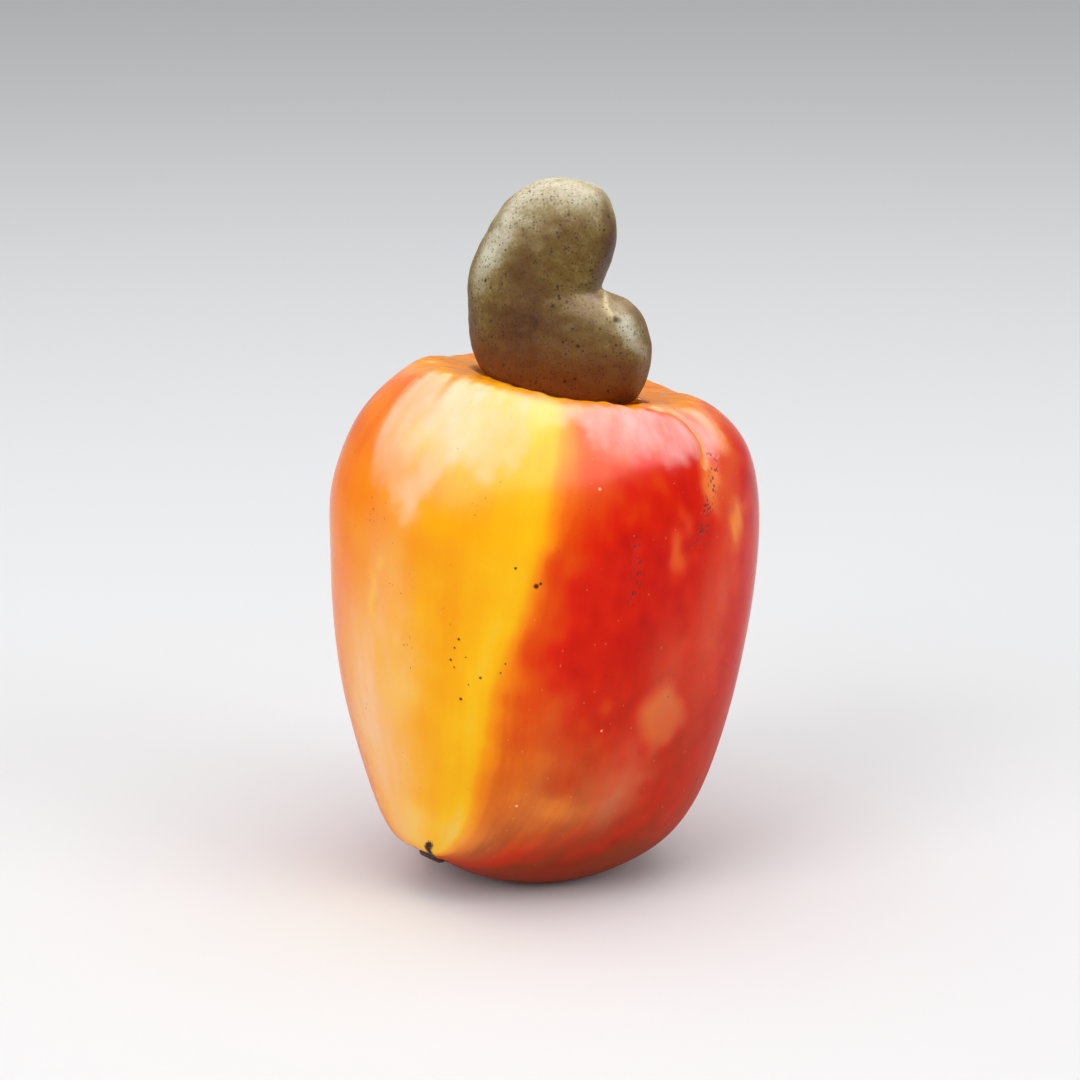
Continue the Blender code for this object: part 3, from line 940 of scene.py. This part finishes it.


def nut_shell(specks):
    """Leathery shell: mottled by tone with painted sheen and shade, painted bounce light from the
    apple at its base, dark specks and a pale ridge.
    """
    material, tree, shader = new_finish("nut_shell")
    place = add_node(tree, "ShaderNodeTexCoord").outputs["Object"]
    # Tone carries a painted sheen at the top and upper left, a painted highlight on the lobe, and
    # painted shade on the right and across the middle
    tone = add_node(tree, "ShaderNodeAttribute", attribute_name="tone").outputs["Fac"]
    ridge = add_node(tree, "ShaderNodeAttribute", attribute_name="ridge").outputs["Fac"]
    pit = add_node(tree, "ShaderNodeAttribute", attribute_name="pit").outputs["Fac"]
    clouds = noise(tree, place, 150.0, detail=4.0, roughness=0.55)
    blotches = noise(tree, place, 480.0, detail=5.0, roughness=0.65)
    grain = noise(tree, place, 2200.0, detail=3.0, roughness=0.7)
    shade = sum_of(tree, (tone, 1.0), (clouds, 0.32), (blotches, 0.62), (grain, 0.48))
    colour = ramp(tree, shade, SHELL_STOPS)
    # Painted bounce light: the shell turns warm brown near its base, lit by light coming back off
    # the apple
    warm = add_node(tree, "ShaderNodeAttribute", attribute_name="warm").outputs["Fac"]
    colour = blend_colour(tree, sum_of(tree, (warm, WARM_SHARE)), colour, WARM_BROWN)
    colour = blend_colour(tree, ridge, colour, SEAM_SCAR)
    fine = cells(tree, place, 2100.0, 0.30, 0.45)
    coarse = cells(tree, place, 950.0, 0.19, 0.20)
    colour = blend_colour(tree, sum_of(tree, (fine, 0.7)), colour, SPECK)
    colour = blend_colour(tree, sum_of(tree, (coarse, 0.9)), colour, SPECK)
    colour = blend_colour(tree, spots(tree, place, specks), colour, SPECK)
    colour = blend_colour(tree, pit, colour, SPECK)
    tree.links.new(colour, shader.inputs["Base Color"])
    gloss = sum_of(tree, (blotches, 0.25), (fine, 0.3), (coarse, 0.3))
    tree.links.new(raised(tree, gloss, 0.42), shader.inputs["Roughness"])
    shader.inputs["IOR"].default_value = 1.21
    bump = add_node(tree, "ShaderNodeBump", Strength=1.0, Distance=0.00004)
    tree.links.new(sum_of(tree, (grain, 1.0), (blotches, 0.6)), bump.inputs["Height"])
    tree.links.new(bump.outputs[0], shader.inputs["Normal"])
    return material


nut_points, tone, ridge, pit = nut_shape()
# Painted bounce light from the orange apple, near the nut's base
warm = ease(*WARM_HEIGHTS, nut_points[:, :, 2])
nut = surface("nut_in_shell", nut_points, tone=tone, warm=warm, ridge=ridge, pit=pit)
nut.data.materials.append(
    nut_shell(
        [
            (skin_point(nut_points, NUT_SPAN, NUT_SPAN - down, degrees) * MM, radius * MM)
            for down, degrees, radius in NUT_SPECKS
        ]
    )
)
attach(nut, "root")
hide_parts("cashew_nut")


# The stub of stalk
# It is the dry woody end of the stalk that the fruit hung from, snapped off short. It stands in
# a small dimple in the skin, low on the left.

# Turned about its own axis: distance out from the skin, radius
STUB_PROFILE = ((-2.2, 1.1), (-1.4, 1.35), (-0.2, 1.5), (0.5, 1.75), (1.1, 1.7), (1.4, 1.2))
STUB_GRID = (40, 64)
RIBS = ((9, 0.05, 0), (14, 0.035, 1))  # count, height against the radius, first angle
SLIVER_ANGLE, SLIVER_HALF_WIDTH, SLIVER_HEIGHT = 180.0, 0.55, 0.55  # it splays at one side


def stub_shape():
    """The stub as rings of points: its profile turned about its axis, with ribs and a torn end.

    The radius ripples with the angle and grows towards the sliver, and the end's height
    follows a random swell.
    """
    distance, radius = np.array(STUB_PROFILE)[::-1].T
    steps = np.linspace(0, len(distance) - 1, STUB_GRID[0] - 2)
    distance = np.interp(steps, np.arange(len(distance)), distance)
    radius = np.interp(steps, np.arange(len(radius)), radius)
    distance = np.concatenate([distance[:1], distance, distance[-1:]])[:, None]
    radius = np.concatenate([[0], radius, [0]])[:, None]
    angle = np.linspace(0, 2 * math.pi, STUB_GRID[1], endpoint=False)[None, :]
    ribbed = 1
    for count, height, first in RIBS:
        ribbed = ribbed + height * np.cos(count * angle + first)
    sliver = np.exp(-((around(angle, SLIVER_ANGLE) / SLIVER_HALF_WIDTH) ** 2))
    radius = radius * ribbed
    radius = radius * (1 + SLIVER_HEIGHT * (sliver * ease(0.2, 1.3, distance)))
    x, y = radius * np.cos(angle), radius * np.sin(angle)
    rings = np.stack([x, y, -distance + 0 * angle], axis=2)
    torn = ease(0.6, 1.4, -rings[:, :, 2]) * ripples(rings * np.array((1, 1, 0)), 1.4, seed=31)
    torn[0] = torn[0].mean()
    rings[:, :, 2] += 0.18 + 0.18 * np.clip(torn, -1, 1)
    out, height, tilt, _ = APPLE_SECTIONS[0]
    return turn(lean(rings, tilt) + np.array((out, 0, height)), BEND_TURN)


CRACK, FIBRE = (0.018, 0.008, 0.006), (0.11, 0.055, 0.035)


def stalk_wood():
    """Dry dark bark, darker in its cracks."""
    material, tree, shader = new_finish("stalk_wood")
    place = add_node(tree, "ShaderNodeTexCoord").outputs["Object"]
    fibres = noise(tree, place, 1900.0, detail=5.0, roughness=0.7)
    colour = ramp(tree, raised(tree, fibres, 0.5), ((0.3, CRACK), (0.7, FIBRE)))
    tree.links.new(colour, shader.inputs["Base Color"])
    shader.inputs["Roughness"].default_value = 0.85
    bump = add_node(tree, "ShaderNodeBump", Strength=1.0, Distance=0.0002)
    tree.links.new(fibres, bump.inputs["Height"])
    tree.links.new(bump.outputs[0], shader.inputs["Normal"])
    return material


stub = surface("stalk_stub_end", stub_shape())
stub.data.materials.append(stalk_wood())
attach(stub, "root")
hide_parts("stalk_stub")


# The floor, the light and the camera
# A plain pale floor under soft lights above and on both sides, as for a studio picture of
# fruit. One more light, just overhead, shows only in the gloss and gives the wax its sheen.

FLOOR_HALF = 4.0  # in metres, as are the places and sizes of the lights
FLOOR_COLOUR = (0.80, 0.80, 0.80, 1.0)
floor_mesh = bpy.data.meshes.new("floor")
ways = ((-1, -1), (1, -1), (1, 1), (-1, 1))
corners = [(right * FLOOR_HALF, back * FLOOR_HALF, 0) for right, back in ways]
floor_mesh.from_pydata(corners, [], [(0, 1, 2, 3)])
floor = bpy.data.objects.new("floor", floor_mesh)
bpy.context.scene.collection.objects.link(floor)
floor_finish, _, floor_shader = new_finish("pale_floor")
floor_shader.inputs["Base Color"].default_value = FLOOR_COLOUR
floor_shader.inputs["Roughness"].default_value = 0.9
floor_shader.inputs["Specular IOR Level"].default_value = 0.0
floor_mesh.materials.append(floor_finish)


def soft_light(name, place, aim, width, depth, watts, gloss_only=False, shows=True):
    """A rectangular soft light at a place that faces the point it aims at.

    Its axes are the way back from that point, and two at right angles to it and each other.
    """
    data = bpy.data.lights.new(name, "AREA")
    data.shape = "RECTANGLE"
    data.size, data.size_y = width, depth
    data.energy = watts
    light = bpy.data.objects.new(name, data)
    bpy.context.scene.collection.objects.link(light)
    place, aim = np.array(place), np.array(aim)
    back = (place - aim) / np.linalg.norm(place - aim)
    side = np.cross((0, 1, 0.001), back)
    side /= np.linalg.norm(side)
    over = np.cross(back, side)
    columns = np.stack([side, over, back, place], axis=1)
    light.matrix_world = Matrix([*columns.tolist(), (0, 0, 0, 1)])
    light.visible_diffuse = not gloss_only
    light.visible_glossy = shows
    light.visible_camera = False
    return light


MIDDLE = (0, 0, 0.05)
soft_light("overhead", (0.0, -0.05, 0.75), (0.0, -0.05, 0.0), 1.1, 0.9, 4.0, shows=False)
soft_light("key", (-0.75, -0.85, 0.75), MIDDLE, 0.8, 0.8, 6.5, shows=False)
soft_light("fill", (1.15, -0.7, 0.75), MIDDLE, 0.8, 0.8, 5.0, shows=False)
soft_light("sheen", (-0.12, -0.08, 0.42), (-0.12, -0.08, 0.0), 1.56, 0.96, 66.0, gloss_only=True)

SKY_COLOUR, SKY_STRENGTH = (0.95, 0.97, 1.0, 1.0), 0.45
world = bpy.data.worlds.new("studio")
bpy.context.scene.world = world
world.use_nodes = True
sky = world.node_tree.nodes["Background"]
sky.inputs["Color"].default_value = SKY_COLOUR
sky.inputs["Strength"].default_value = SKY_STRENGTH
bpy.context.scene.view_settings.view_transform = "Standard"

CAMERA_AIM = (-0.43, 0.0, 48.32)
CAMERA_RISE = 15.0
CAMERA_DISTANCE = 460.0
CAMERA_LENS = 107.33  # 7 photo pixels to a millimetre of fruit
rise = math.radians(CAMERA_RISE)
camera_data = bpy.data.cameras.new("camera")
camera_data.lens = CAMERA_LENS
camera_data.sensor_width = 36.0
camera_data.clip_start = 0.01
camera = bpy.data.objects.new("camera", camera_data)
bpy.context.scene.collection.objects.link(camera)
aim = np.array(CAMERA_AIM) * MM
camera.location = aim + CAMERA_DISTANCE * MM * np.array((0, -math.cos(rise), math.sin(rise)))
camera.rotation_euler = (math.pi / 2 - rise, 0, 0)
bpy.context.scene.camera = camera
